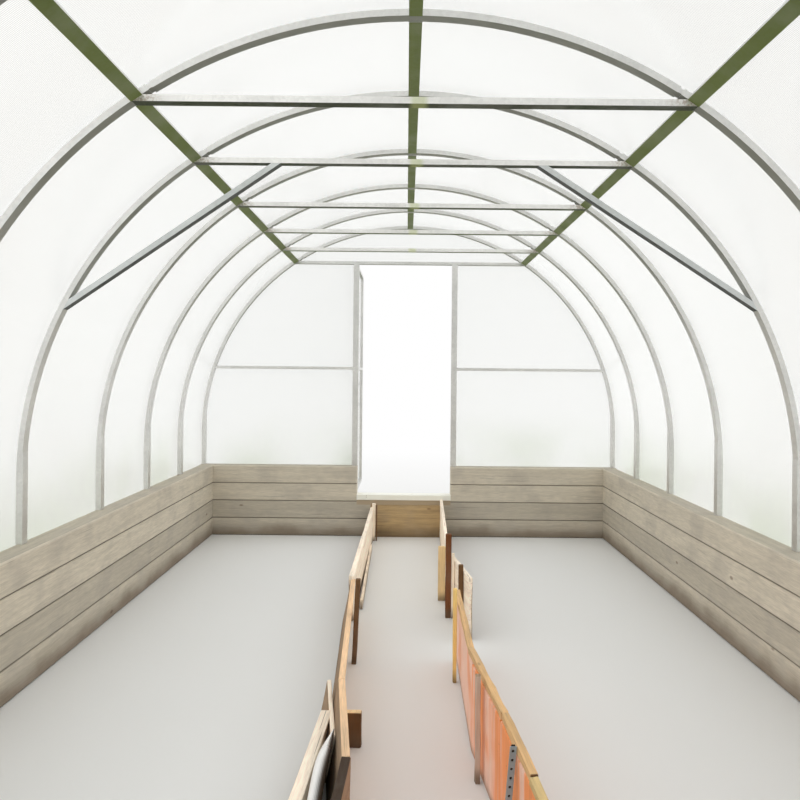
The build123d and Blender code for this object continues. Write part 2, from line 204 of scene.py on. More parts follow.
def wood_paint(name, hue=None, turn=0.0, course=0.0, damp_top=0.06, grey=0.25, figure=1.0):
    """Sawn, weathered wood. Without a hue it reads each timber's own grain and hue attributes,
    whose grain runs along x; with one it turns Object coordinates so that x runs along the
    wood, and shifts grain and tone at every course, with a dark joint between courses. The
    grain's contrast grows with figure, and the wood is dark with damp below damp_top."""
    material = bpy.data.materials.new(name)
    tree, out = shader_tree(material)
    spot = put(tree, "ShaderNodeTexCoord").outputs["Object"]
    height = parts(tree, spot)["Z"]
    if hue is None:
        along = put(tree, "ShaderNodeAttribute", attribute_name="grain").outputs["Vector"]
        own = put(tree, "ShaderNodeAttribute", attribute_name="hue").outputs["Color"]
    else:
        along = put(tree, "ShaderNodeMapping", {"Vector": spot, "Rotation": (0.0, 0.0, turn)}).outputs[0]
        own = put(tree, "ShaderNodeRGB").outputs[0]
        own.default_value = (*hue, 1.0)
    if course:
        level = math(tree, "FLOOR", math(tree, "DIVIDE", height, course))
        tone = put(tree, "ShaderNodeTexWhiteNoise", {"W": level}, noise_dimensions="1D").outputs["Value"]
        shift = put(tree, "ShaderNodeCombineXYZ", {"X": math(tree, "MULTIPLY", level, 3.7)}).outputs[0]
        along = put(tree, "ShaderNodeVectorMath", {0: along, 1: shift}, operation="ADD").outputs[0]
        own = scaled(tree, own, remap(tree, tone, 0.0, 1.0, 0.86, 1.1))
        place = math(tree, "FRACT", math(tree, "DIVIDE", height, course))
        joint = remap(tree, math(tree, "ABSOLUTE", math(tree, "SUBTRACT", place, 0.5)), 0.46, 0.495)
        top = course_count * course
        joint = math(tree, "MULTIPLY", joint, remap(tree, height, top - 0.008, top - 0.016))
    drawn = stretched(tree, along, (1.0, 16.0, 16.0))
    bands = noise(tree, drawn, 3.0, 6.0, Distortion=0.6)
    fibres = noise(tree, drawn, 18.0, 4.0)
    blotch = noise(tree, along, 5.0, 4.0)
    crack = remap(tree, noise(tree, stretched(tree, along, (0.5, 30.0, 30.0)), 5.0), 0.33, 0.29)
    knots = stretched(tree, along, (1.0, 2.2, 2.2))
    knots = put(tree, "ShaderNodeTexVoronoi", {"Vector": knots, "Scale": 3.2}).outputs["Distance"]
    knot = remap(tree, knots, 0.075, 0.03)
    banding = remap(tree, bands, 0.3, 0.7, 1.02 - 0.16 * figure, 1.02 + 0.16 * figure)
    shade = math(tree, "MULTIPLY", banding, remap(tree, fibres, 0.25, 0.75, 0.9, 1.12))
    colour = scaled(tree, own, shade)
    greyed = math(tree, "MULTIPLY", remap(tree, blotch, 0.45, 0.7), grey)
    colour = blend_colour(tree, greyed, colour, (0.33, 0.30, 0.27))
    colour = blend_colour(tree, math(tree, "MULTIPLY", knot, 0.6), colour, (0.16, 0.09, 0.05))
    colour = blend_colour(tree, math(tree, "MULTIPLY", crack, 0.65 * figure), colour, (0.07, 0.05, 0.035))
    ragged = math(tree, "MULTIPLY", math(tree, "SUBTRACT", blotch, 0.5), 0.12)
    damp = remap(tree, math(tree, "ADD", height, ragged), damp_top, 0.0, 0.0, 0.75)
    colour = blend_colour(tree, damp, colour, (0.13, 0.085, 0.05))
    if course:
        colour = blend_colour(tree, math(tree, "MULTIPLY", joint, 0.7), colour, (0.06, 0.045, 0.035))
    relief = math(tree, "SUBTRACT", math(tree, "MULTIPLY", fibres, 0.5), math(tree, "ADD", crack, knot))
    roughness = remap(tree, fibres, 0.2, 0.8, 0.72, 0.92)
    normal = bumped(tree, relief, 0.45, 0.002)
    shaded(tree, out, {"Base Color": colour, "Roughness": roughness, "Normal": normal})
    return material


course_count = 4
course_height = 0.125
log_grey = paint_tone(198, 189, 172)
log_wood_across = wood_paint("log_wood_across", log_grey, 0.0, course_height, 0.12, 0.3, 0.45)
log_wood_along = wood_paint("log_wood_along", log_grey, radians(-90), course_height, 0.12, 0.3, 0.45)
dress(["base_near", "base_far"], log_wood_across)
dress(["base_left", "base_right"], log_wood_along)
end_board_wood = wood_paint("end_board_wood", paint_tone(178, 152, 112), damp_top=0.1)
dress(["end_board_near", "end_board_far"], end_board_wood)


# Thresholds
# A grey-primed sill in each doorway's notch under a white painted cap with a nose that
# stands in over the end board; the paint is dulled, and flecked where feet cross it.
def paint_over(name, low_colour, high_colour, change, wear):
    """Gloss paint, one colour below a level and one above, worn down to grey wood in flecks."""
    material = bpy.data.materials.new(name)
    tree, out = shader_tree(material)
    spot = put(tree, "ShaderNodeTexCoord").outputs["Object"]
    height = parts(tree, spot)["Z"]
    flecks = noise(tree, spot, 26.0, 8.0, Roughness=0.7)
    cloud = noise(tree, spot, 4.0, 3.0)
    brush = noise(tree, stretched(tree, spot, (4.0, 160.0, 160.0)), 2.0)
    colour = blend_colour(tree, remap(tree, height, change - 0.001, change + 0.001), low_colour, high_colour)
    dulled = math(tree, "MULTIPLY", remap(tree, cloud, 0.45, 0.8), 0.12)
    colour = blend_colour(tree, dulled, colour, paint_tone(150, 140, 122))
    bare = remap(tree, flecks, wear, wear + 0.04)
    colour = blend_colour(tree, bare, colour, paint_tone(120, 104, 88))
    relief = math(tree, "SUBTRACT", math(tree, "MULTIPLY", brush, 0.3), bare)
    roughness = remap(tree, bare, 0.0, 1.0, 0.4, 0.8)
    normal = bumped(tree, relief, 0.3, 0.001)
    shaded(tree, out, {"Base Color": colour, "Roughness": roughness, "Normal": normal})
    return material


cap_level = 0.262
sill_paint = paint_over("sill_paint", paint_tone(186, 168, 142), paint_tone(250, 249, 238), cap_level, 0.66)
dress(["threshold_near", "threshold_far"], sill_paint)


# Tube frame
# Hoops, collar ties, purlins, knee braces, gable and door frames of 20 x 40 mm galvanised
# tube, bent and welded; the zinc shows its spangle, and what faces down is painted with shade and a green
# reflection.
def zinc_paint(name, underside_shade, underside_shade_share, stain_from=None, body=(0.70, 0.70, 0.682), open_end_light=1.0):
    """Dulled zinc with a spangle, and a painted shade of the given colour on the faces that look
    down, greenish where it also paints in a green reflection; this painted shade is darker towards
    the shut end and paler, by the factor open_end_light, towards the open one; a tie has rusty
    ends and a green stain under the ridge purlin."""
    material = bpy.data.materials.new(name)
    tree, out = shader_tree(material)
    coordinates = put(tree, "ShaderNodeTexCoord").outputs
    spot = coordinates["Object"]
    facing = parts(tree, coordinates["Normal"])["Z"]
    cells = put(tree, "ShaderNodeTexVoronoi", {"Vector": spot, "Scale": 95.0}).outputs["Color"]
    cell = put(tree, "ShaderNodeSeparateColor", {0: cells}).outputs[0]
    cloud = noise(tree, spot, 7.0, 5.0)
    specks = noise(tree, spot, 130.0, 3.0)
    clouded = remap(tree, cloud, 0.3, 0.7, 0.94, 1.06)
    tone = math(tree, "MULTIPLY", clouded, remap(tree, cell, 0.0, 1.0, 0.95, 1.03))
    colour = scaled(tree, body, tone)
    # Painted shade: faces that look down take the shade colour, which stands in for their shadow and a green
    # reflection.
    under = remap(tree, facing, -0.2, -0.7)
    patchy = math(tree, "MULTIPLY", remap(tree, cloud, 0.2, 0.6, 0.88, 1.0), underside_shade_share)
    shade_and_rust = math(tree, "MULTIPLY", under, patchy)
    lengthwise = parts(tree, spot)["Y"]
    # Painted light along the house: the painted shade is darker towards the shut end and paler towards the
    # open one.
    shut_end_shade = remap(tree, lengthwise, -0.9, -2.0, 1.0, 0.62)
    shade_along_house = math(tree, "MULTIPLY", shut_end_shade, remap(tree, lengthwise, 0.2, 1.6, 1.0, open_end_light))
    colour = blend_colour(tree, shade_and_rust, colour, scaled(tree, underside_shade, shade_along_house))
    if stain_from:
        across = parts(tree, spot)["X"]
        end = remap(tree, math(tree, "ABSOLUTE", across), *stain_from)
        rust = math(tree, "MULTIPLY", end, remap(tree, specks, 0.42, 0.62, 0.05, 0.6))
        rust = math(tree, "MULTIPLY", rust, math(tree, "SUBTRACT", 1.0, under))
        colour = blend_colour(tree, rust, colour, paint_tone(150, 122, 96))
        shade_and_rust = math(tree, "MAXIMUM", shade_and_rust, rust)
        from_ridge = math(tree, "ABSOLUTE", math(tree, "SUBTRACT", across, 0.012))
        algae = remap(tree, from_ridge, 0.035, 0.012, 0.0, 0.45)
        colour = blend_colour(tree, algae, colour, paint_tone(186, 196, 120))
    pits = math(tree, "MULTIPLY", remap(tree, specks, 0.72, 0.78), 0.35)
    colour = blend_colour(tree, pits, colour, (0.30, 0.27, 0.22))
    spangle = remap(tree, cell, 0.0, 1.0, 0.34, 0.46)
    sockets = {
        "Base Color": colour,
        "Metallic": remap(tree, shade_and_rust, 0.0, 1.0, 0.75, 0.0),
        "Roughness": math(tree, "ADD", spangle, math(tree, "MULTIPLY", shade_and_rust, 0.3)),
        "Specular IOR Level": 0.3,
        "Normal": bumped(tree, specks, 0.12, 0.0006),
    }
    shaded(tree, out, sockets)
    return material


tie_ends = (0.72, 0.82)
# One zinc painted at three brightnesses: paler on the ties and darker on the braces than on the hoops, a
# painted light and shade for how each is lit.
hoop_body, hoop_underside_shade = (0.72, 0.72, 0.70), (0.172, 0.18, 0.142)
tie_body, tie_underside_shade = (0.88, 0.875, 0.855), (0.042, 0.052, 0.024)
brace_body, brace_underside_shade = (0.62, 0.645, 0.64), (0.085, 0.092, 0.085)
# The second colour of each zinc is the painted shade for faces that look down; the greener ones also paint
# in a reflection of green.
hoop_zinc = zinc_paint("hoop_zinc", hoop_underside_shade, 0.88, body=hoop_body, open_end_light=1.7)
tie_zinc = zinc_paint("tie_zinc", tie_underside_shade, 1.0, tie_ends, body=tie_body, open_end_light=3.2)
brace_zinc = zinc_paint("brace_zinc", brace_underside_shade, 1.0, body=brace_body)
purlin_zinc = zinc_paint("purlin_zinc", paint_tone(106, 118, 68), 1.0)
dress([name for name in nodes if name.startswith(("hoop", "gable_frame"))], hoop_zinc)
dress(["door_frame", "near_door_frame"], hoop_zinc)
dress([name for name in nodes if name.startswith("collar_tie")], tie_zinc)
dress([name for name in nodes if name.startswith("purlin")], purlin_zinc)
dress(["knee_brace_left", "knee_brace_right"], brace_zinc)


# Cladding
# Twin-wall cellular sheet, 4 mm, bent over the hoops with its flutes running round the arch
# and upright in the gables and doors; clear plastic made milky by age, greener and denser low down.
def sheet_paint(name, line_axis):
    """Milky clear sheet: part see-through, part glowing with the light behind, with the webs
    between its flutes as fine denser lines across one axis and a thin gloss."""
    flute_width = 0.0057
    material = bpy.data.materials.new(name)
    tree, out = shader_tree(material)
    spot = put(tree, "ShaderNodeTexCoord").outputs["Object"]
    place = parts(tree, spot)
    step = math(tree, "FRACT", math(tree, "DIVIDE", place[line_axis], flute_width))
    web = remap(tree, math(tree, "ABSOLUTE", math(tree, "SUBTRACT", step, 0.5)), 0.36, 0.5)
    # Towards the bottom the sheet is tinted green and made less see-through.
    low = remap(tree, place["Z"], 0.95, 0.45)
    low_green = math(tree, "MULTIPLY", low, remap(tree, noise(tree, spot, 1.6, 5.0), 0.35, 0.7, 0.05, 0.5))
    tint = blend_colour(tree, low_green, (0.995, 0.998, 0.992), (0.80, 0.84, 0.74))
    clear = put(tree, "ShaderNodeBsdfTransparent", {"Color": tint})
    glow = put(tree, "ShaderNodeBsdfTranslucent", {"Color": tint})
    dull = put(tree, "ShaderNodeBsdfDiffuse", {"Color": tint})
    gloss = put(tree, "ShaderNodeBsdfGlossy", {"Color": white, "Roughness": 0.22})
    milk = put(tree, "ShaderNodeMixShader", {0: 0.15, 1: glow.outputs[0], 2: dull.outputs[0]})
    thick = math(tree, "ADD", remap(tree, web, 0.0, 1.0, 0.28, 0.48), math(tree, "MULTIPLY", low_green, 0.3))
    wall = put(tree, "ShaderNodeMixShader", {0: thick, 1: clear.outputs[0], 2: milk.outputs[0]})
    shine = math(tree, "MULTIPLY", put(tree, "ShaderNodeFresnel", {"IOR": 1.45}).outputs[0], 0.35)
    sheet = put(tree, "ShaderNodeMixShader", {0: shine, 1: wall.outputs[0], 2: gloss.outputs[0]})
    tree.links.new(sheet.outputs[0], out.inputs["Surface"])
    return material


roof_plastic = sheet_paint("roof_sheet_plastic", "Y")
gable_plastic = sheet_paint("gable_sheet_plastic", "X")
dress([name for name in nodes if name.startswith("roof_sheet")], roof_plastic)
dress([name for name in nodes if name.startswith("gable_sheet")] + ["near_door_sheet"], gable_plastic)
dress(["door_sheet"], sheet_paint("open_door_sheet_plastic", "Y"))


# Fixing screws
# Hexagon-headed roofing screws on sealing washers, driven through the sheets into the tube
# every 24 to 34 cm, and seen from outside.
def make_piece(name, shells, materials, body="house"):
    """One mesh out of closed shells of (points, faces, grain, hue, material number): the grain
    is each point's place in the timber's own frame, the hue its own colour."""
    starts = np.cumsum([0] + [len(shell[0]) for shell in shells[:-1]])
    faces = [np.asarray(shell[1]) + start for shell, start in zip(shells, starts)]
    mesh = bpy.data.meshes.new(name)
    points = np.concatenate([shell[0] for shell in shells])
    mesh.from_pydata(points.tolist(), [], np.concatenate(faces).tolist())
    for label, part in (("grain", 2), ("hue", 3)):
        values = np.concatenate([np.broadcast_to(shell[part], shell[0].shape) for shell in shells])
        layer = mesh.attributes.new(label, "FLOAT_VECTOR", "POINT")
        layer.data.foreach_set("vector", values.astype(np.float32).ravel())
    for material in materials:
        mesh.materials.append(material)
    slots = np.repeat([shell[4] for shell in shells], [len(shell[1]) for shell in shells])
    mesh.polygons.foreach_set("material_index", slots)
    mesh.update()
    piece = bpy.data.objects.new(name, mesh)
    bpy.context.scene.collection.objects.link(piece)
    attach(piece, body)
    return piece


def ring_faces(rings, around, closed_ends=True):
    """Faces of a surface of rings, each split in two: ring i, corner j joins ring i + 1, corner
    j + 1. Two more points, after the rings, close the first and the last ring as fans."""
    i, j = np.meshgrid(np.arange(rings - 1), np.arange(around), indexing="ij")
    a, b = i * around + j, i * around + (j + 1) % around
    quads = np.stack([a, b, b + around, a + around], -1).reshape(-1, 4)
    sides = np.concatenate([quads[:, [0, 1, 2]], quads[:, [0, 2, 3]]])
    if not closed_ends:
        return sides
    j = np.arange(around)
    k = (j + 1) % around
    first = np.stack([np.full(around, rings * around), k, j], -1)
    last_row = (rings - 1) * around
    last = np.stack([np.full(around, rings * around + 1), last_row + j, last_row + k], -1)
    return np.concatenate([sides, first, last])


def screw_heads(places, outward, flats=0.008, washer=0.0085):
    """Screw heads as turned surfaces: a domed round washer under a hexagon whose corner
    radius is flats / 2 / cos(angle from the middle of a flat), with its top edge eased.
    places and outward are arrays of points and unit directions, one row a screw."""
    around = 12
    angle = np.arange(around) * 2 * np.pi / around
    flat = flats / 2 / np.cos((angle + np.pi / 6) % (np.pi / 3) - np.pi / 6)
    disc = np.ones(around)
    radii = np.stack([washer * disc, washer * 0.95 * disc, flat * 1.25, flat, flat * 0.8])
    rise = np.array([0.0, 0.0012, 0.002, 0.0045, 0.0052])
    places, outward = np.asarray(places), np.asarray(outward)
    helper = np.where(np.abs(outward[:, 2:3]) < 0.9, [[0.0, 0.0, 1.0]], [[1.0, 0.0, 0.0]])
    side = np.cross(helper, outward)
    side /= np.linalg.norm(side, axis=1, keepdims=True)
    other = np.cross(outward, side)
    rings = (
        places[:, None, None]
        + radii[None, :, :, None] * np.cos(angle)[None, None, :, None] * side[:, None, None]
        + radii[None, :, :, None] * np.sin(angle)[None, None, :, None] * other[:, None, None]
        + rise[None, :, None, None] * outward[:, None, None]
    )
    ends = np.stack([places, places + rise[-1] * outward], 1)
    points = np.concatenate([rings.reshape(len(places), -1, 3), ends], 1)
    faces = ring_faces(len(rise), around)
    return [(p, faces, p, (0.5, 0.5, 0.5), 0) for p in points]


def all_facing(count, direction):
    """The same outward direction for every screw of a row."""
    return np.tile(direction, (count, 1))


screw_zinc = zinc_paint("screw_zinc", (0.2, 0.2, 0.2), 0.2)
outer_radius = 1.5043
arc_level = 0.742
hoop_boxes = [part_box(f"hoop_{number}") for number in range(1, 11)]
hoop_lines = np.array([(low[1] + high[1]) / 2 for low, high in hoop_boxes])
turns = np.radians(np.linspace(14.0, 78.0, 6))
turns = np.concatenate([turns, np.pi - turns])
ways = np.stack([np.cos(turns), np.zeros_like(turns), np.sin(turns)], -1)
seats = [
    (way[0] * outer_radius, line, arc_level + way[2] * outer_radius)
    for line in hoop_lines
    for way in ways
]
roof_heads = screw_heads(seats, np.tile(ways, (len(hoop_lines), 1)))
make_piece("roof_screws", roof_heads, [screw_zinc])

gable_radius = 1.49
gable_turns = np.radians(np.arange(12.0, 170.0, 12.0))
rail_level = 1.205
rail_places = (-1.2, -0.9, -0.6, 0.56, 0.88, 1.2)
post_places = (-0.403, 0.342)
post_levels = np.arange(0.62, 1.85, 0.24)
for end, label in ((-1, "near"), (1, "far")):
    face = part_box(f"gable_sheet_{label}_left")[0 if end < 0 else 1][1]
    out = (0.0, float(end), 0.0)
    rows = [(gable_radius * np.cos(t), face, arc_level + gable_radius * np.sin(t)) for t in gable_turns]
    rows += [(x, face, rail_level) for x in rail_places]
    post_rows = [(x, face, level) for x in post_places for level in post_levels]
    heads = screw_heads(rows, all_facing(len(rows), out))
    heads += screw_heads(post_rows, all_facing(len(post_rows), out), flats=0.0065, washer=0.0046)
    make_piece(f"gable_screws_{label}", heads, [screw_zinc])

edge_inset = 0.011
foot_inset = 0.05
door_spacing = 0.26
door_head = {"flats": 0.007, "washer": 0.0065}
near_low, near_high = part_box("near_door_sheet")
door_levels = np.arange(near_low[2] + foot_inset, near_high[2], door_spacing)
near_edges = (near_low[0] + edge_inset, near_high[0] - edge_inset)
near_rows = [(x, near_low[1], level) for x in near_edges for level in door_levels]
near_heads = screw_heads(near_rows, all_facing(len(near_rows), (0.0, -1.0, 0.0)), **door_head)
make_piece("near_door_screws", near_heads, [screw_zinc])
far_low, far_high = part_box("door_sheet")
far_edges = (far_low[1] + edge_inset, far_high[1] - edge_inset)
far_rows = [(far_low[0], y, level) for y in far_edges for level in door_levels]
far_heads = screw_heads(far_rows, all_facing(len(far_rows), (-1.0, 0.0, 0.0)), **door_head)
make_piece("door_screws", far_heads, [screw_zinc], body="door")


# Handles
# A bow of flat steel on each leaf, bent from one strip and screwed to the leaf's edge
# tube; black powder coat, rubbed bright where hands take it.
def coat_paint(name, colour, rubbed, rub_low, rub_high):
    """Powder coat with a fine orange peel, rubbed through to steel between two levels."""
    material = bpy.data.materials.new(name)
    tree, out = shader_tree(material)
    spot = put(tree, "ShaderNodeTexCoord").outputs["Object"]
    height = parts(tree, spot)["Z"]
    peel = noise(tree, spot, 700.0)
    cloud = noise(tree, spot, 90.0, 6.0)
    above = remap(tree, height, rub_low, rub_low + 0.03)
    held = math(tree, "MULTIPLY", above, remap(tree, height, rub_high, rub_high - 0.03))
    bare = math(tree, "MULTIPLY", held, remap(tree, cloud, 0.5, 0.6))
    sockets = {
        "Base Color": blend_colour(tree, bare, colour, rubbed),
        "Metallic": bare,
        "Roughness": remap(tree, cloud, 0.3, 0.7, 0.32, 0.5),
        "Normal": bumped(tree, peel, 0.2, 0.0003),
    }
    shaded(tree, out, sockets)
    return material


handle_coat = coat_paint("handle_coat", (0.02, 0.02, 0.021), (0.45, 0.44, 0.42), 0.95, 1.05)
dress(["door_handle", "near_door_handle"], handle_coat)


# Boards, plank and stakes on the left of the walkway
# Old sawn boards on edge between rough stakes, the nearer ones pushed over the walkway by
# what lies behind them, with an offcut plank and a lath slipped in at the back.
def beam(
    start, stop, across, upright, hue, edge=0.003, wear=0.0025, seed=0, number=0, brown_sides=(), cut=None
):
    """A sawn timber as a closed surface. Its outline has four sides with rounded corners:
    (s, t) goes round a rectangle of half sizes |across| / 2 and |upright| / 2, and a ring's
    points are centre + s across + t upright, with the centre going from start to stop. Each
    point sinks towards the centre by wear times a slow random wave along the timber. The sides
    named in brown_sides (-1 and 1 across the house) are coloured a mid brown, the stop's end the
    cut hue."""
    start, stop, across, upright = (np.asarray(v, float) for v in (start, stop, across, upright))
    run = stop - start
    if np.dot(np.cross(across, upright), run) < 0:
        across = -across
    half = np.array([np.linalg.norm(across), np.linalg.norm(upright)]) / 2
    corner = np.array([(1, -1), (1, 1), (-1, 1), (-1, -1)], float)
    lean = np.radians([[-90, -45, 0], [0, 45, 90], [90, 135, 180], [180, 225, 270]])
    turned = np.stack([np.cos(lean), np.sin(lean)], -1) * edge + (corner * (half - edge))[:, None]
    between = (turned[:, 2] + np.roll(turned[:, 0], -1, axis=0)) / 2
    outline = np.concatenate([turned, between[:, None]], 1).reshape(-1, 2) / half
    around = len(outline)
    length = np.linalg.norm(run)
    rings = max(5, int(length / 0.045))
    reach = np.concatenate([[0.0], np.linspace(edge / length, 1 - edge / length, rings), [1.0]])
    size = np.concatenate([[0.9], np.ones(rings), [0.9]])[:, None, None]
    chance = np.random.default_rng(seed)
    knots = np.abs(chance.normal(size=(rings // 3 + 4, around)))
    knots = (knots + np.roll(knots, 1, 1) + np.roll(knots, -1, 1)) / 3
    place = reach * (len(knots) - 1.001)
    low = place.astype(int)
    share = (place - low)[:, None]
    share = share * share * (3 - 2 * share)
    sink = wear * ((1 - share) * knots[low] + share * knots[low + 1])
    offset = size * outline[None, :, :1] * across / 2 + size * outline[None, :, 1:] * upright / 2
    depth = np.linalg.norm(offset, axis=-1, keepdims=True)
    offset *= 1 - np.minimum(sink[..., None] / depth, 0.3)
    centre = start + reach[:, None] * run
    points = np.concatenate([(centre[:, None] + offset).reshape(-1, 3), [start, stop]])
    along = np.broadcast_to((reach * length)[:, None, None], (len(reach), around, 1))
    sideways = np.broadcast_to(outline * half, (len(reach), around, 2))
    own = np.concatenate([np.concatenate([along, sideways], -1).reshape(-1, 3), [[0, 0, 0], [length, 0, 0]]])
    own += np.array([1.7, 0.9, 0.4]) * (seed + 1)
    hues = np.tile(hue, (len(points), 1))
    side = np.round(np.where(across[0] < 0, -1, 1) * outline[:, 0], 3)
    hues[:-2].reshape(len(reach), around, 3)[:, np.isin(side, brown_sides)] = bed_side_brown
    if cut:
        hues[-2 - around : -2] = cut
        hues[-1] = cut
    return points, ring_faces(len(reach), around), own, hues, number


def boards(
    line, thickness, height, hue, seed, tip=0.0, base=0.0, number=0, wear=0.0025, brown_sides=(), cut=None
):
    """Boards on edge from point to point of the plan, tops tipped over their feet by an angle."""
    slide = height * np.tan(radians(tip))
    centre = base + height / 2
    shells = []
    for step, ((x0, y0), (x1, y1)) in enumerate(zip(line, line[1:])):
        across = np.array([-(y1 - y0), x1 - x0, 0.0]) / np.hypot(x1 - x0, y1 - y0)
        lean = -across * slide / 2
        shells.append(
            beam(
                np.array([x0, y0 + frame_middle, centre]) + lean,
                np.array([x1, y1 + frame_middle, centre]) + lean,
                across * thickness,
                np.array([0.0, 0.0, height]) + across * slide,
                hue,
                seed=seed + step,
                number=number,
                wear=wear,
                brown_sides=brown_sides,
                cut=cut,
            )
        )
    return shells


def stake(x, y, width, depth, height, hue, seed, cut=None, lean=0.0):
    """A stake on the floor beside the walkway, its head out over its foot by an angle."""
    y += frame_middle
    foot = (x - height * np.tan(radians(lean)), y, 0.0)
    return beam(foot, (x, y, height), (width, 0, 0), (0, depth, 0), hue, 0.003, 0.002, seed, cut=cut)


# Places in plan are (across, along), counted from the middle of the frame, which lies this
# far from the shared origin towards the shut end. Lines run from far to near. Boards give
# their line, thickness, height, hue and seed, and stakes their place, width, depth, height,
# hue and seed.
frame_middle = -0.33
board_wood = wood_paint("board_wood", grey=0.15, figure=0.8)
# A mid brown for the sides that face the beds, and for both sides of the old dark boards.
bed_side_brown = paint_tone(154, 126, 98)
pale_board = paint_tone(255, 239, 218)
pink_board = paint_tone(237, 198, 157)
dark_board = paint_tone(58, 42, 26)
umber_stake = paint_tone(106, 77, 48)
straw_cut = paint_tone(250, 222, 172)
tip_angle = 10.8
plank_tip = 6.0
left_face, right_face = -1, 1
upright_line = ((-0.253, 2.894), (-0.267, 0.99))
low_lath_line = ((-0.240, 2.44), (-0.229, 1.18))
tipped_line = ((-0.258, 1.0), (-0.212, -0.19), (-0.160, -0.69))
plank_line = ((-0.253, -0.262), (-0.303, -1.3))
loose_lath_line = ((-0.268, -0.025), (-0.215, -0.443))
old_line = ((-0.160, -0.689), (-0.183, -1.3), (-0.253, -2.894))
back = (left_face,)
left_shells = (
    boards(upright_line, 0.025, 0.215, pale_board, 1, brown_sides=back)
    + boards(low_lath_line, 0.014, 0.05, pale_board, 3)
    + boards(tipped_line, 0.022, 0.2, pink_board, 5, tip_angle, brown_sides=back)
    + boards(plank_line, 0.035, 0.13, pale_board, 9, plank_tip, brown_sides=back, wear=0.0015)
    + boards(loose_lath_line, 0.014, 0.13, pale_board, 11, tip_angle, brown_sides=back, wear=0.001)
    + boards(old_line, 0.025, 0.2, dark_board, 13, brown_sides=(left_face, right_face))
)
left_shells += [
    stake(-0.237, 2.77, 0.024, 0.028, 0.26, pale_board, 21),
    stake(-0.218, 2.77, 0.012, 0.020, 0.25, umber_stake, 22),
    stake(-0.203, 0.468, 0.022, 0.025, 0.34, umber_stake, 23, lean=2.4),
    stake(-0.181, -0.225, 0.070, 0.025, 0.11, umber_stake, 24, cut=straw_cut),
]
left_boards = make_piece("left_boards", left_shells, [board_wood])
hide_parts("path_boards_left")


# Boards, posts and laths on the right of the walkway, beyond and before the panel
# The same old boards on edge, kept upright by a pale lath, a taller brown post and two short
# ones driven in against them.
grey_board = paint_tone(150, 126, 104)
brown_post = paint_tone(112, 66, 32)
straw_lath = paint_tone(236, 206, 156)
right_far_line = ((0.239, 2.894), (0.201, 1.29), (0.272, 0.748))
right_near_line = ((0.2925, -1.201), (0.239, -2.894))
back = (right_face,)
right_far_shells = boards(right_far_line, 0.02, 0.276, pale_board, 31, brown_sides=back)
right_far_shells += [
    stake(0.173, 1.35, 0.040, 0.018, 0.28, straw_lath, 41),
    stake(0.192, 1.071, 0.029, 0.029, 0.40, brown_post, 42),
    stake(0.2135, 1.062, 0.016, 0.015, 0.31, pale_board, 43),
    stake(0.237, 0.86, 0.024, 0.024, 0.305, umber_stake, 44),
]
right_far = make_piece("right_boards_far", right_far_shells, [board_wood])
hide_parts("path_boards_right_far")
right_near_shells = boards(right_near_line, 0.025, 0.215, grey_board, 51, brown_sides=back)
right_near = make_piece("right_boards_near", right_near_shells, [board_wood])
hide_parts("path_boards_right_near")


# Painted panel on the right of the walkway
# A thin board once painted orange-brown, its paint run and bleached in upright streaks, under a
# bare sawn batten; a lath, a grey stake and a perforated steel strip hold it up.
def streaked_paint(name):
    """Paint whose colour runs down the board: noise drawn out upwards in the board's own frame,
    with more of it bleached where the hue's first number is higher."""
    material = bpy.data.materials.new(name)
    tree, out = shader_tree(material)
    own = put(tree, "ShaderNodeAttribute", attribute_name="grain").outputs["Vector"]
    hue = put(tree, "ShaderNodeAttribute", attribute_name="hue").outputs["Vector"]
    height = parts(tree, put(tree, "ShaderNodeTexCoord").outputs["Object"])["Z"]
    streaks = noise(tree, stretched(tree, own, (13.0, 13.0, 1.3)), 1.0, 5.0, Roughness=0.55)
    fine = noise(tree, stretched(tree, own, (90.0, 90.0, 6.0)), 1.0, 4.0)
    cloud = noise(tree, own, 4.0, 3.0)
    flecks = noise(tree, own, 60.0, 6.0, Roughness=0.7)
    pale = remap(tree, math(tree, "ADD", streaks, parts(tree, hue)["X"]), 0.38, 0.6)
    colour = blend_colour(tree, pale, paint_tone(254, 156, 92), paint_tone(252, 208, 188))
    colour = blend_colour(tree, remap(tree, cloud, 0.52, 0.7, 0.0, 0.6), colour, paint_tone(250, 146, 66))
    colour = scaled(tree, colour, remap(tree, fine, 0.25, 0.75, 0.9, 1.06))
    bare = remap(tree, flecks, 0.66, 0.72)
    colour = blend_colour(tree, math(tree, "MULTIPLY", bare, 0.7), colour, paint_tone(150, 120, 96))
    colour = blend_colour(tree, remap(tree, height, 0.04, 0.0, 0.0, 0.6), colour, (0.16, 0.1, 0.06))
    relief = math(tree, "SUBTRACT", math(tree, "MULTIPLY", fine, 0.4), bare)
    roughness = remap(tree, streaks, 0.3, 0.7, 0.5, 0.75)
    normal = bumped(tree, relief, 0.3, 0.0012)
    shaded(tree, out, {"Base Color": colour, "Roughness": roughness, "Normal": normal})
    return material


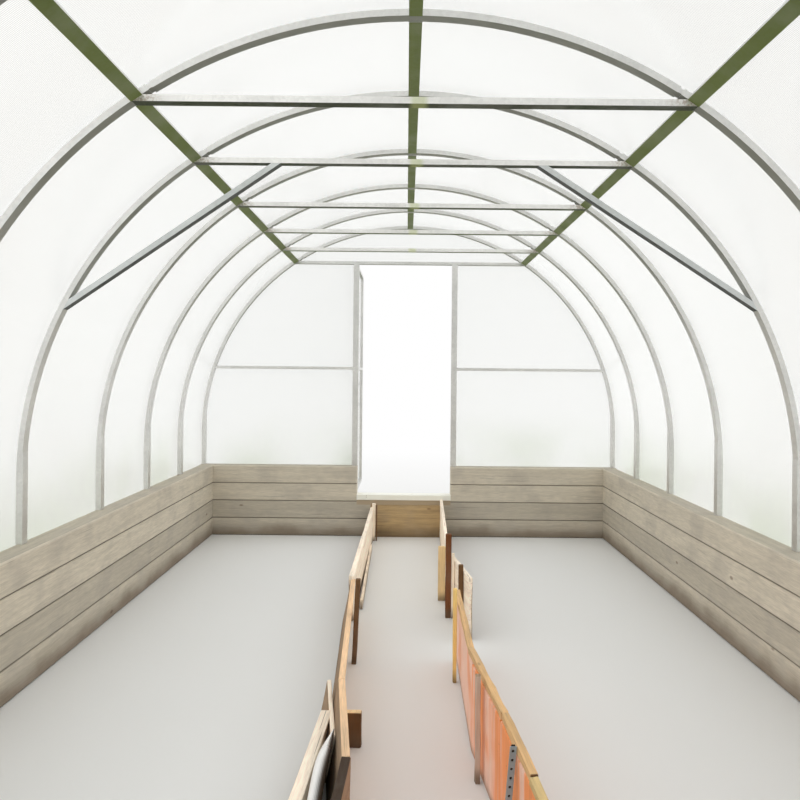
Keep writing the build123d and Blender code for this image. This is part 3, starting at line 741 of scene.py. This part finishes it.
def perforated_strip(x, y, width, thickness, height, lean, pitch=0.021, hole=0.0034, number=0):
    """A flat steel strip with a row of round holes: in each cell of it, rings of points go
    from the cell's square border to the hole's circle, through it, and back behind. Its head
    leans out over its foot: x falls by the tangent of the lean below the top."""
    around = 16
    angle = np.arange(around) * 2 * np.pi / around
    circle = np.stack([np.cos(angle), np.sin(angle)], -1)
    square = circle / np.abs(circle).max(1, keepdims=True) * np.array([width, pitch]) / 2
    rings = np.stack([square, circle * hole, circle * hole, square])
    depth = (np.array([-1, -1, 1, 1]) * thickness / 2)[:, None] + y + frame_middle
    cell = np.stack([rings[..., 0] + x, np.broadcast_to(depth, rings.shape[:2]), rings[..., 1]], -1)
    faces = ring_faces(4, around, closed_ends=False)
    i = np.arange(around)
    j = (i + 1) % around
    back_ring = 3 * around
    rim_halves = ((back_ring + i, back_ring + j, j), (back_ring + i, j, i))
    rim = np.concatenate([np.stack(half, -1) for half in rim_halves])
    shells = []
    for level in np.arange(pitch / 2, height, pitch):
        points = (cell + (0, 0, level)).reshape(-1, 3)
        points[:, 0] -= (height - points[:, 2]) * np.tan(radians(lean))
        shells.append((points, np.concatenate([faces, rim]), points, (0.5, 0.5, 0.5), number))
    return shells


panel_line = ((0.202, 0.5), (0.199, -0.25), (0.239, -0.64), (0.286, -1.2))
panel_thickness = 0.012
panel_height = 0.271
panel_bleach = (0.16, -0.02, -0.08)
panel_seeds = (61, 66, 63)
batten_line = ((0.197, 0.5), (0.198, -0.16), (0.245, -0.64), (0.271, -0.95))
broken_line = ((0.267, -0.956), (0.285, -1.2))
batten = {"base": panel_height, "wear": 0.0035}
batten_size = 0.024
broken_height = 0.021
batten_hue = paint_tone(215, 174, 124)
broken_hue = paint_tone(206, 178, 124)
strip_lean = 4.6
panel_shells = []
for step, (bleach, seed) in enumerate(zip(panel_bleach, panel_seeds)):
    run = panel_line[step : step + 2]
    hue = (bleach, 0.0, 0.0)
    panel_shells += boards(run, panel_thickness, panel_height, hue, seed, number=1, wear=0.0008)
panel_shells += (
    boards(batten_line[:3], batten_size, batten_size, batten_hue, 71, **batten)
    + boards(batten_line[2:], batten_size, batten_size, batten_hue, 73, **batten, cut=umber_stake)
    + boards(broken_line, batten_size, broken_height, broken_hue, 75, **batten)
)
panel_shells += [
    stake(0.1745, 0.286, 0.017, 0.018, 0.355, paint_tone(244, 208, 130), 81),
    stake(0.195, -0.435, 0.018, 0.020, 0.308, paint_tone(196, 174, 158), 82, cut=paint_tone(150, 126, 100)),
    # A near-black strip behind the perforated steel, so that its holes show dark: a painted shade.
    stake(0.2415, -0.825, 0.013, 0.005, 0.296, paint_tone(40, 34, 28), 83, lean=strip_lean),
]
panel_shells += perforated_strip(0.2415, -0.83, 0.016, 0.0025, 0.3, strip_lean, number=2)
strip_zinc = zinc_paint("strip_zinc", (0.2, 0.2, 0.2), 0.2, body=(0.36, 0.46, 0.52))
panel_finishes = [board_wood, streaked_paint("panel_paint"), strip_zinc]
painted_panel = make_piece("painted_panel", panel_shells, panel_finishes)
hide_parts("path_panel_right")


# Tin edging between the plank and the left boards
# An offcut of bright sheet metal with a rolled top edge, pushed down behind the tipped boards;
# it is painted near white as a painted reflection of the sky, and nearly black on its right side as painted
# shade.
def rolled_strip(start_y, stop_y, x_far, x_near, top, radius, thickness, tip):
    """A strip on edge with a rolled top: the outline goes up a straight side, round an arc of
    150 degrees, and back one thickness inside, sheared by the tip; it is carried along y, and
    the roll opens from a flat far end, fast at first, over a quarter of its length."""
    bend = np.radians(np.linspace(0, 150, 14))
    side = np.linspace(0.0, top - radius, 6)[:-1]
    straight = np.stack([np.full(5, radius), side - (top - radius)], -1)
    outer = np.concatenate([straight, np.stack([np.cos(bend), np.sin(bend)], -1) * radius])
    inner = outer * (1 - thickness / np.linalg.norm(outer, axis=1, keepdims=True))
    inner[:5] = straight - (thickness, 0.0)
    loop = np.concatenate([outer, inner[::-1]])
    reach = np.linspace(0, 1, 30)
    wave = 0.0008 * np.sin(reach * 17.0)
    opened = 1.0 - 0.85 * np.clip(1.0 - reach / 0.23, 0.0, 1.0) ** 2
    side_x = (x_far + (x_near - x_far) * reach + wave + radius)[:, None]
    x = side_x - (radius - loop[None, :, 0]) * opened[:, None]
    z = np.broadcast_to(loop[None, :, 1] + top - radius, x.shape)
    x = x + (z - top) * np.tan(radians(tip))
    y = np.broadcast_to((start_y + (stop_y - start_y) * reach)[:, None] + frame_middle, x.shape)
    rings = np.stack([x, y, z], -1)
    points = np.concatenate([rings.reshape(-1, 3), [rings[0].mean(0), rings[-1].mean(0)]])
    return points, ring_faces(len(reach), len(loop)), points, (0.7, 0.7, 0.7), 0


def tin_paint(name):
    """Tin painted near white as a painted reflection of the sky, clouded, and nearly black on the
    faces that look right, a painted shade which fades out towards the far end."""
    material = bpy.data.materials.new(name)
    tree, out = shader_tree(material)
    coordinates = put(tree, "ShaderNodeTexCoord").outputs
    cloud = noise(tree, coordinates["Object"], 9.0, 4.0)
    # Painted shade: faces that look right go nearly black, less so towards the far end.
    far_end_less_shade = remap(tree, parts(tree, coordinates["Object"])["Y"], -0.85, -1.1, -0.5, 0.0)
    side = math(tree, "ADD", parts(tree, coordinates["Normal"])["X"], far_end_less_shade)
    clouded = remap(tree, cloud, 0.6, 0.85, 0.0, 0.5)
    # The near-white colour is a painted reflection of the sky.
    colour = blend_colour(tree, clouded, (1.0, 0.99, 0.98), (0.72, 0.68, 0.62))
    sockets = {
        "Base Color": blend_colour(tree, remap(tree, side, -0.6, 0.6), colour, (0.035, 0.026, 0.02)),
        "Metallic": 0.25,
        "Roughness": remap(tree, cloud, 0.3, 0.8, 0.25, 0.4),
        "Normal": bumped(tree, cloud, 0.05, 0.002),
    }
    shaded(tree, out, sockets)
    return material


tin_strip = rolled_strip(-0.43, -1.25, -0.2305, -0.2245, 0.15, 0.019, 0.0015, tip_angle)
make_piece("tin_edging", [tin_strip], [tin_paint("bright_tin")])

bpy.context.scene.view_settings.view_transform = "Standard"
